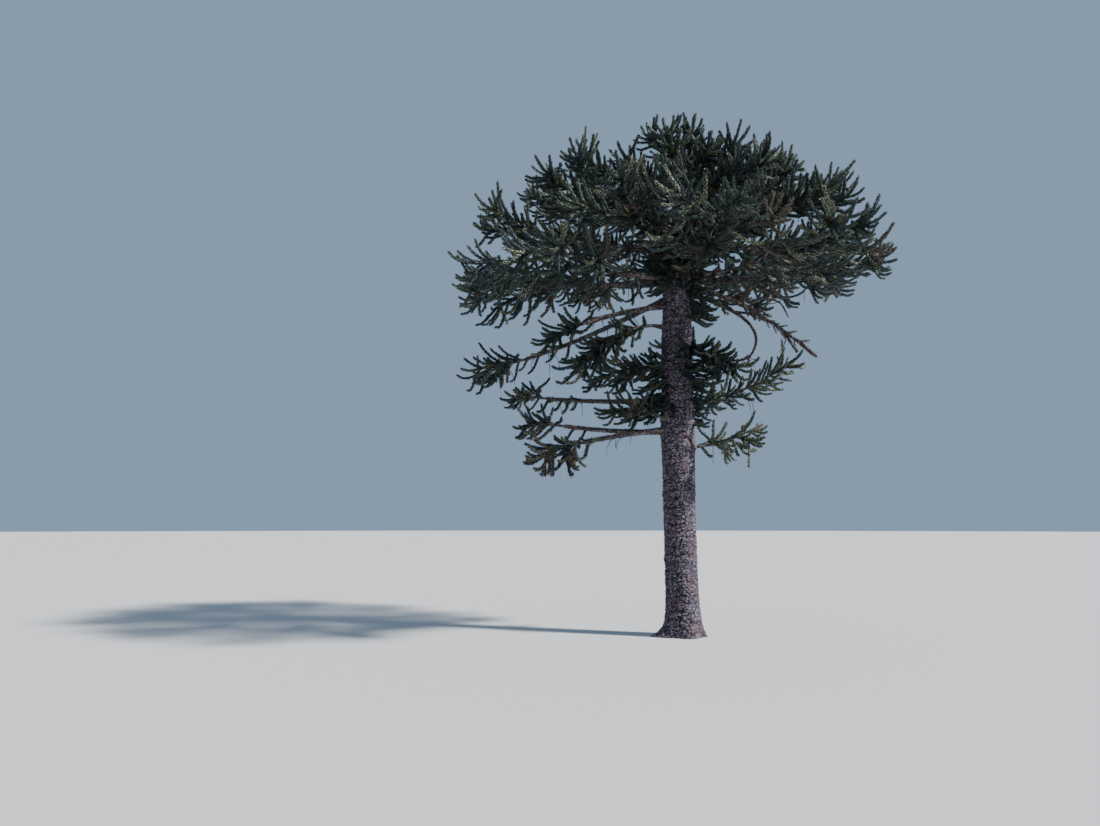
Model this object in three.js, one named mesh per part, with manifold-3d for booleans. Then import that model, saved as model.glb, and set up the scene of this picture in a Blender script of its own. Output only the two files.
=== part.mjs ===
// A mature monkey puzzle tree: a tall bare trunk, an umbrella crown of long boughs that end in
// masses of rope-like leafy shoots, and a few old drooping boughs below the crown.
// Millimetres, +Z up. The origin is the middle of the flat cut at ground level. Headings are
// degrees round the trunk from +X, which is the right-hand side seen along +Y.
import * as THREE from 'three';
import { mergeVertices } from 'three/addons/utils/BufferGeometryUtils.js';
import Module from 'manifold-3d';

const wasm = await Module();
wasm.setup();

// Driving dimensions of the trunk: its radius at heights above the ground, and its gentle sway
const girth = [
  [0, 545], [120, 520], [350, 480], [900, 452], [1600, 443], [2400, 440], [3400, 443], [4500, 442],
  [5300, 466], [6200, 446], [7900, 430], [9000, 405], [10000, 372], [11000, 312], [12000, 222],
  [13000, 112], [13600, 42],
];
const swayLeft = 35; // how far the middle of the trunk bows to -X
const swayHeight = 9000; // height of that bow from the ground to where it ends
const topLean = 320; // how far the trunk's tip leans to +X
const leanFrom = 8200; // height where the lean starts
const trunkSides = 16;
const buttressDepth = 95; // how far the root flare's ribs stand out at the ground
const buttressCount = 5;
const buttressHeight = 420; // height over which the ribs fade
const longRoot = { heading: 186, width: 20, depth: 330, height: 170 }; // one root runs out further
const stub = { height: 8480, reach: 610, radius: 60 };

// Driving dimensions of the limbs and shoots
const boughRadius = 78; // at the trunk
const boughEndRadius = 40; // where a bough enters its mass
const axisEndRadius = 24; // at the end of an axis inside a mass
const boughSides = 5;
const boughRings = 3;
const axisSides = 3;
const pathSteps = 10;
const sprayThickness = 110; // at the middle of a spray
const fingerRadius = 60; // half the width of a finger where it leaves the middle
const notchShare = 0.3; // how far out the notches between fingers lie, as a share of the length
const fingerRoom = 130; // least room between the middles of two sprays' fingers
const coneRadius = 78; // of a round seed cone
const rootSunk = 14; // how far a spray's root lies beyond the line of its axis
const jointGap = 0.3; // between a stem and the bough or trunk that carries it
const clearGap = 25; // least room left between a shoot and a limb that isn't its own
const farLift = 1550; // how much higher the crown's rim is carried on the side away from view
const farShort = 650; // how much shorter the boughs are on that side

const up = new THREE.Vector3(0, 0, 1);
const radians = THREE.MathUtils.degToRad;
const lerp = THREE.MathUtils.lerp;

const bark = new THREE.MeshStandardMaterial({ color: 0x5d4a43, roughness: 0.95, metalness: 0 });
const limbBark = new THREE.MeshStandardMaterial({ color: 0x4a423c, roughness: 0.95, metalness: 0 });
const leafGreen = new THREE.MeshStandardMaterial({ color: 0x2f3d26, roughness: 0.6, metalness: 0 });
const deadBrown = new THREE.MeshStandardMaterial({ color: 0x4f4036, roughness: 0.9, metalness: 0 });

function seededRandom(seed) {
  let state = seed >>> 0;
  return () => {
    state = (state + 0x6d2b79f5) >>> 0;
    let mixed = Math.imul(state ^ (state >>> 15), state | 1);
    mixed ^= mixed + Math.imul(mixed ^ (mixed >>> 7), mixed | 61);
    return ((mixed ^ (mixed >>> 14)) >>> 0) / 4294967296;
  };
}

function alongStations(stations, height) {
  const last = stations.length - 1;
  if (height >= stations[last][0]) return stations[last][1];
  const next = stations.findIndex(([z]) => z > height);
  const [z0, r0] = stations[next - 1];
  const [z1, r1] = stations[next];
  return lerp(r0, r1, (height - z0) / (z1 - z0));
}

// The trunk's centre line, its radius and its ribs at the foot

function trunkCentre(height) {
  const bow = -swayLeft * Math.sin(Math.PI * Math.min(1, height / swayHeight));
  const lean = topLean * THREE.MathUtils.smoothstep(height, leanFrom, treeTop);
  return new THREE.Vector3(bow + lean, 0, height);
}

const treeTop = girth[girth.length - 1][0];

function ribsAt(angle, height) {
  const ribs = 0.5 + 0.5 * Math.cos(buttressCount * angle + 0.6);
  const fromRoot = THREE.MathUtils.radToDeg(angle) - longRoot.heading;
  const turned = THREE.MathUtils.euclideanModulo(fromRoot + 180, 360) - 180;
  const root = Math.exp(-((turned / longRoot.width) ** 2)) * Math.exp(-height / longRoot.height);
  return buttressDepth * ribs * Math.exp(-height / buttressHeight) + longRoot.depth * root;
}

function trunkGeometry(extra) {
  const rings = girth.length - 1;
  const geometry = new THREE.CylinderGeometry(1, 1, 1, trunkSides, rings);
  const position = geometry.attributes.position;
  const vertex = new THREE.Vector3();
  for (let i = 0; i < position.count; i++) {
    vertex.fromBufferAttribute(position, i);
    const ring = Math.round((vertex.y + 0.5) * rings);
    const height = girth[ring][0] + (ring === rings ? extra : 0) - (ring === 0 ? extra : 0);
    const outward = Math.hypot(vertex.x, vertex.z) > 0.5 ? 1 : 0;
    const angle = Math.atan2(-vertex.z, vertex.x);
    const radius = outward * (girth[ring][1] + ribsAt(angle, girth[ring][0]) + extra);
    const centre = trunkCentre(girth[ring][0]);
    position.setXYZ(i, centre.x + radius * Math.cos(angle), centre.y + radius * Math.sin(angle), height);
  }
  return geometry;
}

// Turns a closed three.js geometry into a solid, and a solid back into a geometry

function solidOf(geometry) {
  geometry.deleteAttribute('normal');
  geometry.deleteAttribute('uv');
  const merged = mergeVertices(geometry, 1e-3);
  return new wasm.Manifold(new wasm.Mesh({
    numProp: 3,
    vertProperties: new Float32Array(merged.attributes.position.array),
    triVerts: new Uint32Array(merged.index.array),
  }));
}

function geometryOf(solid) {
  const mesh = solid.getMesh();
  const geometry = new THREE.BufferGeometry();
  geometry.setAttribute('position', new THREE.BufferAttribute(mesh.vertProperties, 3));
  geometry.setIndex(new THREE.BufferAttribute(mesh.triVerts, 1));
  geometry.computeVertexNormals();
  return geometry;
}

// Joining can leave a loose scrap or a sealed hollow: the largest outer body is the piece.
function mainBody(solid) {
  return solid.decompose().reduce((a, b) => (b.volume() > a.volume() ? b : a));
}

// A limb swept along a curve with a radius that changes along it
function limbSolid(curve, radiusAt, sides, rings) {
  const geometry = new THREE.CylinderGeometry(1, 1, 1, sides, rings);
  const frames = curve.computeFrenetFrames(rings, false);
  const centres = Array.from({ length: rings + 1 }, (_, ring) => curve.getPointAt(ring / rings));
  const position = geometry.attributes.position;
  const vertex = new THREE.Vector3();
  for (let i = 0; i < position.count; i++) {
    vertex.fromBufferAttribute(position, i);
    const ring = Math.round((vertex.y + 0.5) * rings);
    const atAxis = Math.hypot(vertex.x, vertex.z) < 1e-6;
    const angle = Math.atan2(vertex.z, vertex.x);
    const radius = atAxis ? 0 : radiusAt(ring / rings);
    const place = centres[ring].clone()
      .addScaledVector(frames.normals[ring], radius * Math.cos(angle))
      .addScaledVector(frames.binormals[ring], -radius * Math.sin(angle));
    position.setXYZ(i, place.x, place.y, place.z);
  }
  return solidOf(geometry);
}

// A spray of leafy shoots: a toothed blade whose fingers fan out round a thick middle. Its root
// is a point sunk in the axis that carries it. Ring holds the outline in turn round the middle.
function spraySolid({ middle, normal, ring }) {
  const above = middle.clone().addScaledVector(normal, sprayThickness / 2);
  const below = middle.clone().addScaledVector(normal, -sprayThickness / 2);
  const vertices = [above, below, ...ring].flatMap((point) => point.toArray());
  const triangles = ring.flatMap((_, i) => {
    const here = 2 + i;
    const beside = 2 + ((i + 1) % ring.length);
    return [0, here, beside, 1, beside, here];
  });
  return new wasm.Manifold(new wasm.Mesh({
    numProp: 3,
    vertProperties: new Float32Array(vertices),
    triVerts: new Uint32Array(triangles),
  }));
}

// A seed cone sits near the tip of one of a spray's fingers
function coneSolid({ fingers }) {
  const [middle, tip] = fingers[Math.floor(fingers.length / 2)];
  const place = middle.clone().lerp(tip, 0.8);
  return solidOf(new THREE.IcosahedronGeometry(coneRadius, 0).translate(place.x, place.y, place.z));
}

// The bough's line from the trunk's axis to its tip

function boughCurve({ from, heading, reach, tip, sag = 0, swing = 0, bulge = 0, hook = 0 }) {
  const points = [];
  for (let i = 0; i <= pathSteps; i++) {
    const t = i / pathSteps;
    const angle = radians(heading + swing * t * t);
    const out = reach * (t + bulge * 4 * t * (1 - t));
    const height = lerp(from, tip, t) - sag * 4 * t * (1 - t) + hook * t ** 5;
    points.push(new THREE.Vector3(
      trunkCentre(from).x + out * Math.cos(angle), out * Math.sin(angle), height));
  }
  return new THREE.CatmullRomCurve3(points);
}

function stretchOf(curve, first, last, steps) {
  const points = [];
  for (let i = 0; i <= steps; i++) points.push(curve.getPointAt(lerp(first, last, i / steps)));
  return new THREE.CatmullRomCurve3(points);
}

// An axis is a woody line inside a mass that shoots stand on
function makeAxis(curve, rootRadius, bare, sprays) {
  return { curve, rootRadius, bare, sprays, line: curve.getPoints(pathSteps) };
}

function sideAxis(main, along, side, length, lift, random) {
  const root = main.getPointAt(along);
  const forward = main.getTangentAt(along);
  const across = new THREE.Vector3().crossVectors(up, forward).normalize().multiplyScalar(side);
  const spread = radians(lerp(58, 30, along) + 12 * (random() - 0.5));
  const leave = forward.clone().multiplyScalar(Math.cos(spread))
    .addScaledVector(across, Math.sin(spread));
  const finish = forward.clone().multiplyScalar(1.1)
    .addScaledVector(across, 0.9)
    .addScaledVector(up, lift)
    .normalize();
  const middle = root.clone().addScaledVector(leave, 0.5 * length);
  return new THREE.CatmullRomCurve3([
    root,
    root.clone().addScaledVector(leave, 0.25 * length),
    middle,
    middle.clone().addScaledVector(finish, 0.5 * length),
  ]);
}

function distanceToLine(point, line) {
  const nearest = new THREE.Vector3();
  const segment = new THREE.Line3();
  let least = Infinity;
  for (let i = 0; i + 1 < line.length; i++) {
    segment.set(line[i], line[i + 1]).closestPointToPoint(point, true, nearest);
    least = Math.min(least, nearest.distanceTo(point));
  }
  return least;
}

const distanceToAxes = (point, axes) =>
  Math.min(...axes.map((axis) => distanceToLine(point, axis.line)));

// The crown's tiers, lowest first. Share is how much of a bough is bare, and where it is nothing
// the mass springs from the trunk. Sag bends a bough down at its middle, and lift pulls shoots up.
// On the left side boughs are bare for longer and droop more.
const tiers = [
  { name: 'rim', count: 8, first: 0, from: 10000, reach: 5400, tip: 10250, sag: 200, share: 0.27,
    leftBare: 0.3, leftDroop: 0.18, nearDrop: 250, leftRise: -500, leftMore: 0, sides: 4,
    sideReach: 1900, mainSprays: 5, sideSprays: 1, fingers: 5, length: 920, lift: -0.2 },
  { name: 'middle', count: 6, first: 4, from: 10750, reach: 4800, tip: 11150, sag: 50, share: 0.22,
    leftBare: 0.1, leftDroop: 0, nearDrop: 500, leftRise: 0, leftMore: 350, sides: 3,
    sideReach: 1850, mainSprays: 5, sideSprays: 1, fingers: 5, length: 880, lift: 0.25 },
  { name: 'shoulder', count: 6, first: 32, from: 11350, reach: 3850, tip: 11850, sag: -150, share: 0,
    leftBare: 0, leftDroop: 0, nearDrop: 300, leftRise: 150, leftMore: 450, bare: 0.25, sides: 3,
    sideReach: 1650, mainSprays: 4, sideSprays: 1, fingers: 5, length: 850, lift: 0.5 },
  { name: 'upper', count: 4, first: 2, from: 12050, reach: 2600, tip: 13200, sag: -100, share: 0,
    leftBare: 0, leftDroop: 0, nearDrop: 800, leftRise: -200, leftMore: 0, bare: 0.2, sides: 3,
    sideReach: 1350, mainSprays: 3, sideSprays: 1, fingers: 5, length: 820, lift: 0.7 },
  { name: 'top', count: 2, first: 230, from: 12850, reach: 950, tip: 13550, sag: -60, share: 0,
    leftBare: 0, leftDroop: 0, nearDrop: 0, leftRise: 0, leftMore: 0, bare: 0.15, sides: 2,
    sideReach: 850, mainSprays: 3, sideSprays: 1, fingers: 6, length: 800, lift: 0.9 },
];

// The old boughs that the crown has left behind, each named for the side it hangs on
const lowerBoughs = [
  { name: 'left_long', from: 9550, heading: 170, reach: 5410, tip: 7410, sag: 150, hook: 150, share: 0.82,
    sides: 3, sideReach: 700, mainSprays: 3, sideSprays: 1, fingers: 5, length: 820, lift: -0.35 },
  { name: 'left_inner', from: 9150, heading: 203, reach: 3580, tip: 8070, sag: -150, share: 0.8,
    sides: 2, sideReach: 500, mainSprays: 3, sideSprays: 1, fingers: 4, length: 700, lift: -0.2 },
  { name: 'left_mop', from: 8450, heading: 212, reach: 3090, tip: 7350, sag: -400, share: 0, bare: 0.5,
    sides: 3, sideReach: 850, mainSprays: 4, sideSprays: 2, fingers: 5, length: 900, lift: -0.55 },
  { name: 'left_near', from: 7300, heading: 160, reach: 2080, tip: 7280, sag: -100, share: 0, bare: 0.15,
    sides: 2, sideReach: 800, mainSprays: 4, sideSprays: 1, fingers: 5, length: 750, lift: -0.3 },
  { name: 'left_middle', from: 6450, heading: 165, reach: 4490, tip: 6730, sag: 100, share: 0.84,
    sides: 2, sideReach: 500, mainSprays: 3, sideSprays: 1, fingers: 4, length: 700, lift: -0.2 },
  { name: 'left_tuft', from: 6100, heading: 205, reach: 1780, tip: 6080, sag: -50, share: 0, bare: 0.15,
    sides: 3, sideReach: 700, mainSprays: 4, sideSprays: 1, fingers: 5, length: 700, lift: -0.3 },
  { name: 'left_lower', from: 5550, heading: 190, reach: 3940, tip: 5730, sag: 100, share: 0.82,
    sides: 2, sideReach: 450, mainSprays: 3, sideSprays: 1, fingers: 4, length: 700, lift: -0.3 },
  { name: 'left_lowest', from: 5650, heading: 208, reach: 3850, tip: 4930, sag: -50, share: 0.78,
    sides: 2, sideReach: 500, mainSprays: 3, sideSprays: 1, fingers: 5, length: 750, lift: -0.6 },
  { name: 'right_near', from: 7850, heading: 328, reach: 1450, tip: 7380, sag: -150, share: 0, bare: 0.12,
    sides: 2, sideReach: 750, mainSprays: 4, sideSprays: 1, fingers: 5, length: 850, lift: -0.4 },
  { name: 'right_rising', from: 6300, heading: 18, reach: 3400, tip: 7560, sag: 250, share: 0, bare: 0.1,
    sides: 2, sideReach: 650, mainSprays: 4, sideSprays: 1, fingers: 4, length: 700, lift: -0.1 },
  { name: 'right_lowest', from: 5150, heading: 343, reach: 1900, tip: 5490, sag: 150, share: 0,
    sides: 2, sideReach: 550, mainSprays: 4, sideSprays: 1, fingers: 4, length: 700, lift: -0.3 },
  { name: 'right_under', from: 9550, heading: 352, reach: 2100, tip: 9150, sag: -80, share: 0, bare: 0.1,
    sides: 3, sideReach: 750, mainSprays: 5, sideSprays: 1, fingers: 5, length: 650, lift: -0.25 },
];

// How many seed cones stand among the shoots of the masses that bear them
const coneBearers = { rim_1: 1, rim_8: 1, left_lowest: 2 };

// Bare dead limbs below the crown's right side
const deadLimbs = [
  { name: 'dead_limb_long', from: 9800, heading: 343, reach: 3680, tip: 7450, sag: -350 },
  { name: 'dead_limb_hooked', from: 9600, heading: 12, reach: 2070, tip: 7680, sag: -150, bulge: 0.52 },
];

function tierBoughs(tier, tierIndex) {
  const random = seededRandom(900 + tierIndex);
  return Array.from({ length: tier.count }, (_, i) => {
    const heading = tier.first + (360 * i) / tier.count + 10 * (random() - 0.5);
    const far = Math.max(0, Math.sin(radians(heading)));
    const near = Math.max(0, -Math.sin(radians(heading)));
    const left = Math.max(0, -Math.cos(radians(heading)));
    const outer = tier.reach / tiers[0].reach;
    return {
      ...tier,
      name: `${tier.name}_${i + 1}`,
      heading,
      share: tier.share + tier.leftBare * left,
      lift: tier.lift - tier.leftDroop * left,
      from: tier.from + 220 * (random() - 0.5),
      reach: tier.reach * (1 + 0.06 * (random() - 0.5))
        - farShort * far * outer + tier.leftMore * left,
      tip: tier.tip + 240 * (random() - 0.5)
        + farLift * far * outer - tier.nearDrop * near + tier.leftRise * left,
      swing: 16 * (random() - 0.5),
    };
  });
}

const boughs = [...tiers.flatMap(tierBoughs), ...lowerBoughs];

// Lays out a bough and the axes of its mass. Side axes leave the main one by turns on either side.
function layOut(bough, index) {
  const random = seededRandom(100 + index);
  const whole = boughCurve(bough);
  const main = stretchOf(whole, bough.share, 1, pathSteps);
  const rootRadius = bough.share > 0 ? boughEndRadius : boughRadius * 0.75;
  const mainBare = bough.bare ?? (bough.share > 0 ? 0.1 : 0.35);
  const axes = [makeAxis(main, rootRadius, mainBare, bough.mainSprays)];
  for (let k = 0; k < bough.sides; k++) {
    const along = lerp(mainBare, 0.85, (k + 0.3) / bough.sides);
    const length = bough.sideReach * lerp(1, 0.6, along) * lerp(0.85, 1.15, random());
    const curve = sideAxis(main, along, k % 2 ? -1 : 1, length, 0.5 * bough.lift, random);
    axes.push(makeAxis(curve, axisEndRadius + 12, 0.3, bough.sideSprays));
  }
  const line = stretchOf(whole, 0, Math.max(bough.share, 0.02), pathSteps).getPoints(pathSteps);
  return { ...bough, index, whole, axes, line };
}

const laidOut = boughs.map(layOut);
const bareBoughs = laidOut.filter((bough) => bough.share > 0);
const limbLines = [
  ...bareBoughs.map((bough) => bough.line),
  ...deadLimbs.map((limb) => boughCurve(limb).getPoints(pathSteps)),
];

function clearOfTrunk(point, room) {
  const height = Math.min(point.z, treeTop);
  const centre = trunkCentre(height);
  return Math.hypot(point.x - centre.x, point.y - centre.y) > alongStations(girth, height) + room
    || point.z > treeTop + room;
}

const clearOfLimbs = (point, room) => clearOfTrunk(point, room)
  && limbLines.every((line) => distanceToLine(point, line) > boughRadius + room);

// A mass keeps the space that is nearer to its own axes than to any other mass's
function inOwnSpace(point, mass, room) {
  const own = distanceToAxes(point, mass.axes);
  const isFarther = (other) => distanceToAxes(point, other.axes) > own + room;
  return laidOut.every((other) => other === mass || isFarther(other));
}

// A side axis that would run far into a neighbour's space or touch a limb is left out
function sideAxisFits(point, mass) {
  const own = distanceToLine(point, mass.axes[0].line);
  const isFarther = (other) => distanceToLine(point, other.axes[0].line) > own - 250;
  return clearOfLimbs(point, 60) && laidOut.every((other) => other === mass || isFarther(other));
}

for (const mass of laidOut) {
  const [main, ...sides] = mass.axes;
  const kept = sides.filter(({ line }) => line.slice(4).every((point) => sideAxisFits(point, mass)));
  mass.axes = [main, ...kept];
}

const allowedAt = (point, radius, mass) => inOwnSpace(point, mass, 2 * radius + clearGap)
  && clearOfLimbs(point, radius + clearGap);

// One spray: fingers fan out in a plane, each a little above or below it, and a finger that
// would leave the mass's own space or touch a limb is left out.
function growSpray(mass, root, heading, roll, count, spread, taken, random) {
  const side = new THREE.Vector3(0.21, 0.17, 1).cross(heading).normalize();
  const across = side.clone().applyAxisAngle(heading, roll);
  const normal = new THREE.Vector3().crossVectors(heading, across).normalize();
  const length = mass.length * lerp(0.85, 1.1, random());
  const middle = root.clone().addScaledVector(heading, 0.16 * length);
  const reachTo = (turn, out, rise) => middle.clone()
    .addScaledVector(heading, out * Math.cos(turn))
    .addScaledVector(across, out * Math.sin(turn))
    .addScaledVector(normal, rise);
  const ring = [root.clone().addScaledVector(heading, -rootSunk)];
  const fingers = [];
  for (let k = 0; k < count; k++) {
    const turn = lerp(-spread, spread, (k + 0.5) / count) + 0.12 * (random() - 0.5);
    const out = length * lerp(0.8, 1.08, random()) * (1 - 0.22 * Math.abs(turn / spread));
    const rise = length * (0.3 * (random() - 0.5) + 0.25 * mass.lift * normal.z);
    const samples = [[0.4, fingerRadius], [0.7, fingerRadius / 2], [1, 0]];
    const tip = reachTo(turn, out, rise);
    const allowed = samples.every(([part, radius]) => {
      const point = reachTo(turn, part * out, part * rise);
      return allowedAt(point, radius, mass)
        && taken.every((other) => distanceToLine(point, other) > fingerRoom);
    });
    if (allowed) ring.push(tip);
    if (allowed) fingers.push([middle, tip]);
    const notch = lerp(-spread, spread, (k + 1) / count);
    if (k < count - 1) ring.push(reachTo(notch, notchShare * length, 0));
  }
  if (fingers.length < 2) return null;
  taken.push(...fingers);
  return { middle, normal, ring, fingers };
}

function growSprays(mass) {
  const grown = [];
  const taken = [];
  mass.axes.forEach((axis, axisIndex) => {
    const random = seededRandom(5000 + 50 * mass.index + axisIndex);
    for (let k = 0; k < axis.sprays; k++) {
      const atEnd = k === axis.sprays - 1;
      const along = atEnd ? 0.97 : lerp(axis.bare, 0.95, (k + 0.5) / axis.sprays);
      const root = axis.curve.getPointAt(along);
      const forward = axis.curve.getTangentAt(along);
      const across = new THREE.Vector3().crossVectors(forward, up).normalize();
      const above = new THREE.Vector3().crossVectors(across, forward);
      const turn = radians(137.5 * (k + 2 * axisIndex) + 60 * random());
      const lean = atEnd ? 0.15 : radians(lerp(62, 38, along));
      const outward = new THREE.Vector3(root.x - trunkCentre(root.z).x, root.y, 0).normalize();
      const heading = forward.clone().multiplyScalar(Math.cos(lean))
        .addScaledVector(across, Math.sin(lean) * Math.cos(turn))
        .addScaledVector(above, Math.sin(lean) * Math.sin(turn))
        .addScaledVector(outward, 0.2)
        .addScaledVector(up, 0.6 * mass.lift)
        .normalize();
      const count = mass.fingers + (atEnd ? 1 : 0);
      const spread = atEnd ? 1.25 : 1.05;
      const roll = Math.PI * random();
      const spray = growSpray(mass, root, heading, roll, count, spread, taken, random);
      if (spray) grown.push(spray);
    }
  });
  return grown;
}

const trunkRoom = solidOf(trunkGeometry(jointGap));
const tree = new THREE.Group();

function addPiece(name, solid, material) {
  const mesh = new THREE.Mesh(geometryOf(mainBody(solid)), material);
  mesh.name = name;
  tree.add(mesh);
}

// The bough from the trunk's axis to its end, grown by a gap on every side when one is asked for
function boughSolid(bough, gap) {
  const end = bough.share - (jointGap - gap) / bough.whole.getLength();
  const radiusAt = (t) => lerp(boughRadius, boughEndRadius, t) + gap;
  return limbSolid(stretchOf(bough.whole, 0, end, pathSteps), radiusAt, boughSides, boughRings);
}

function deadSolid(limb, gap) {
  const radiusAt = (t) => lerp(boughRadius * 0.8, axisEndRadius, t) + gap;
  return limbSolid(boughCurve(limb), radiusAt, boughSides, boughRings + 3);
}

function massSolid(mass) {
  const axes = mass.axes.map((axis, i) => {
    const radiusAt = (t) => lerp(axis.rootRadius, axisEndRadius, t);
    return limbSolid(axis.curve, radiusAt, axisSides, i === 0 ? 2 : 1);
  });
  const sprays = growSprays(mass);
  const bearers = sprays.slice(sprays.length - (coneBearers[mass.name] ?? 0));
  const pieces = [...axes, ...sprays.map(spraySolid), ...bearers.map(coneSolid)];
  const joined = pieces.reduce((whole, piece) => whole.add(piece));
  return limbRooms.reduce((rest, room) => rest.subtract(room), joined.subtract(trunkRoom));
}

// The broken stub of a lost bough stands out of the trunk's left side
const stubRoot = trunkCentre(stub.height);
const stubCurve = new THREE.CatmullRomCurve3([
  stubRoot,
  stubRoot.clone().add(new THREE.Vector3(-stub.reach * 0.6, 0, 20)),
  stubRoot.clone().add(new THREE.Vector3(-stub.reach, 0, 70)),
]);
const stubRadiusAt = (t) => lerp(stub.radius, stub.radius * 0.6, t);
const stubSolid = limbSolid(stubCurve, stubRadiusAt, boughSides, 2);
addPiece('trunk', solidOf(trunkGeometry(0)).add(stubSolid), bark);

// Each limb is cut clear of the trunk and of the limbs placed before it
const limbRooms = [];
function addLimb(name, solid, room, material) {
  const cut = limbRooms.reduce((rest, other) => rest.subtract(other), solid.subtract(trunkRoom));
  addPiece(name, cut, material);
  limbRooms.push(room);
}

for (const bough of bareBoughs) {
  addLimb(`bough_${bough.name}`, boughSolid(bough, 0), boughSolid(bough, jointGap), limbBark);
}
for (const limb of deadLimbs) {
  addLimb(limb.name, deadSolid(limb, 0), deadSolid(limb, jointGap), deadBrown);
}
for (const mass of laidOut) addPiece(`foliage_${mass.name}`, massSolid(mass), leafGreen);

export default tree;
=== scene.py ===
import math

import bpy
import numpy as np
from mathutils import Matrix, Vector


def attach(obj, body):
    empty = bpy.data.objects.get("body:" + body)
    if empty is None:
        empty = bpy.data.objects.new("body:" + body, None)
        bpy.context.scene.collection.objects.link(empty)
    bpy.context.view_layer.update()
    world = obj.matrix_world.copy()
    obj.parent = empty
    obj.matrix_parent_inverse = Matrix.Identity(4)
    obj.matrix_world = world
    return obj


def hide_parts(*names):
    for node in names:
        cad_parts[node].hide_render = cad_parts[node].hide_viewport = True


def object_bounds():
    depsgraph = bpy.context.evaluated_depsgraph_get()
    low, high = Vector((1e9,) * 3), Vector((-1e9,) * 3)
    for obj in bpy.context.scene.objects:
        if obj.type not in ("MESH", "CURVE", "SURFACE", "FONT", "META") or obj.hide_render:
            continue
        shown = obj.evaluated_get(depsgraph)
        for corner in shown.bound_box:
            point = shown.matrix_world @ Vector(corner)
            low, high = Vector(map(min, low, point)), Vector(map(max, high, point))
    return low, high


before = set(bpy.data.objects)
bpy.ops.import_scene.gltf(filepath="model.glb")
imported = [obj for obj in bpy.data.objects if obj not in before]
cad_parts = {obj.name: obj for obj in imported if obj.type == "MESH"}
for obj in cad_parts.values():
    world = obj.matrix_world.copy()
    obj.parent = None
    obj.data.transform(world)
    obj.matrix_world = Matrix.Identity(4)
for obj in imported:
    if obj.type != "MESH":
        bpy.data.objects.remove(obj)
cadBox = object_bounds()
boxLow, boxHigh = np.array(cadBox[0]), np.array(cadBox[1])
print("frame loaded:", len(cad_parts), "nodes")

# The whole tree is in metres, with the middle of the trunk's foot at the origin.
# Headings are degrees round the trunk: 0 is right, 90 is away, 180 is left, 270 is towards the camera.

trunkShape = {
    "girth": [(0, .545), (.12, .52), (.35, .48), (.9, .452), (1.6, .443), (2.4, .44), (3.4, .443),
              (4.5, .442), (5.3, .466), (6.2, .446), (7.9, .43), (9, .405), (10, .372), (11, .312),
              (12, .222), (13, .112), (13.6, .042)],  # height, radius
    "bowLeft": .035, "bowHeight": 9,  # the middle of the trunk bows to the left
    "topLean": .32, "leanFrom": 8.2,  # and its top leans to the right
    "ribDepth": .095, "ribCount": 5, "ribHeight": .42, "ribTurn": .6,
    "rootHeading": 186, "rootWidth": 20, "rootDepth": .33, "rootHeight": .17,
    "sides": 144, "ring": .0205, "ringInCrown": .05, "crownFrom": 9.6,
    "collarWidth": .15, "collarDepth": .05,  # where a bough leaves
    "scars": 46, "scarLevels": (.8, 9.8), "scarWidths": (.05, .1), "scarDepths": (.012, .035),
}

# Each tier is a whorl of boughs. Share is the bare part of a bough, sag bends it down, and lift
# pulls its shoots up. An airy bough has fewer and longer shoots. Underside is how far the shoots
# of a dense one reach down.
# Paler raises a bough's share of pale shoots, which are partly painted highlight.
anyBough = dict(swing=0, bulge=0, hook=0, share=0, airy=.7, underside=.75, paler=0, fingers=5,
                sideSprays=1)
anyTier = dict(anyBough, airy=0, leftAiry=0, leftBare=0, leftDroop=0, leftRise=0, leftMore=0)
crownTiers = [dict(anyTier, **tier) for tier in (
    dict(name="rim", count=8, first=0, base=10, reach=5.4, tip=10.25, sag=.2, share=.27, leftBare=.3,
         leftDroop=.18, airy=.6, leftAiry=.6, underside=.42, nearDrop=.25, leftRise=-.5, sides=4,
         sideReach=1.9, mainSprays=5, length=.92, lift=-.2),
    dict(name="middle", count=6, first=4, base=10.75, reach=4.8, tip=11.15, sag=.05, share=.22,
         leftBare=.1, airy=.25, nearDrop=.5, leftMore=.35, sides=3, sideReach=1.85, mainSprays=5,
         length=.88, lift=.25),
    dict(name="shoulder", count=6, first=32, base=11.35, reach=3.85, tip=11.85, sag=-.15, nearDrop=.3,
         leftRise=.15, leftMore=.45, bare=.25, sides=3, sideReach=1.65, mainSprays=4, length=.85, lift=.5),
    dict(name="upper", count=4, first=2, base=12.05, reach=2.6, tip=13.2, sag=-.1, nearDrop=.8,
         leftRise=-.2, bare=.2, sides=3, sideReach=1.35, mainSprays=3, length=.82, lift=.7),
    dict(name="top", count=2, first=230, base=12.85, reach=.95, tip=13.55, sag=-.06, nearDrop=0,
         bare=.15, sides=2, sideReach=.85, mainSprays=3, fingers=6, length=.8, lift=.9),
)]
farSide = {"lift": 1.55, "short": .65}  # the rim rises and draws in on the side away from the camera
jitter = {"heading": 10, "base": .22, "reach": .06, "tip": .24, "swing": 16}  # within a whorl

# The old boughs that the crown has left behind, each named for the side it hangs on
anyLimb = dict(anyBough, sides=2, sideReach=.5, mainSprays=3, length=.7)


def limb(name, base, heading, reach, tip, **more):
    return {**anyLimb, "name": name, "base": base, "heading": heading, "reach": reach, "tip": tip, **more}


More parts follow.
